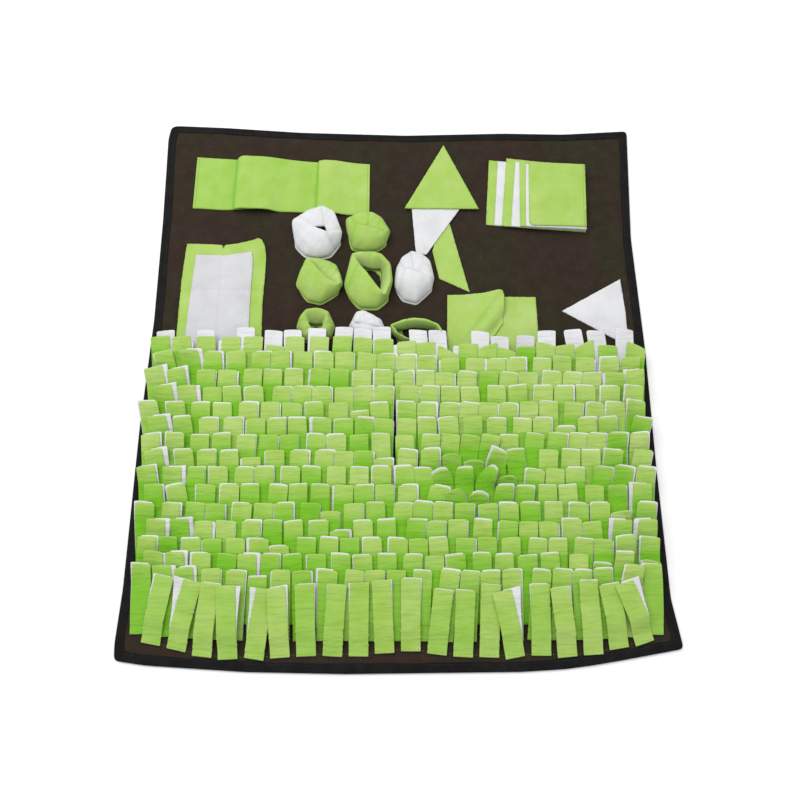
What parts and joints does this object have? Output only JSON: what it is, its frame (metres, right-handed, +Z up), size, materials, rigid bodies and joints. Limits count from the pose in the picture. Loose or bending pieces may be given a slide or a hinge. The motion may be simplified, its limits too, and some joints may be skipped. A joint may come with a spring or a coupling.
{
  "type": "snuffle mat",
  "caption": "Flat cloth foraging mat for a dog: overlapping rows of green and white felt strips, with sewn felt cups, pockets, pages and triangles.",
  "frame": {"origin": "centre of the mat's underside, on the surface it lies on", "axes": "+Z up out of the pile, +Y towards the edge with the cups, pockets and pages, +X to the right seen from above with +Y away"},
  "size_m": [0.7015, 0.8126, 0.0303],
  "materials": {
    "green_felt": "matt needled felt",
    "white_felt": "matt needled felt",
    "brown_base": "matt felted cloth",
    "black_binding": "matt woven tape"
  },
  "bodies": {
    "root": {"base": "brown_base", "edge_binding": "black_binding", "strip_row_01": "green_felt", "strip_row_02": "green_felt", "strip_row_03": "green_felt", "strip_row_04": "green_felt", "strip_row_05": "green_felt", "strip_row_06": "green_felt", "strip_row_07": "green_felt", "strip_row_08": "green_felt", "strip_row_09": "green_felt", "strip_row_10": "green_felt", "strip_row_11": "green_felt", "strip_row_12": "green_felt", "strip_row_13": "green_felt", "strip_row_14": "green_felt", "strip_row_15": "green_felt", "strip_row_16": "green_felt", "pleated_band_green": "green_felt", "cup_1_white": "white_felt", "cup_2_green": "green_felt", "cup_3_green": "green_felt", "cup_4_green": "green_felt", "cup_5_white": "white_felt", "cup_6_green": "green_felt", "cup_7_white": "white_felt", "cup_8_green": "green_felt", "page_1_green": "green_felt", "page_2_white": "white_felt", "page_3_green": "green_felt", "page_4_white": "white_felt", "page_5_green": "green_felt", "page_6_white": "white_felt", "page_7_green": "green_felt", "pocket_back_green": "green_felt", "pocket_front_white": "white_felt", "triangle_lower_green": "green_felt", "triangle_middle_white": "white_felt", "triangle_upper_green": "green_felt", "triangle_right_white": "white_felt", "cross_pocket_right_green": "green_felt", "cross_pocket_left_green": "green_felt"}
  },
  "joints": []
}
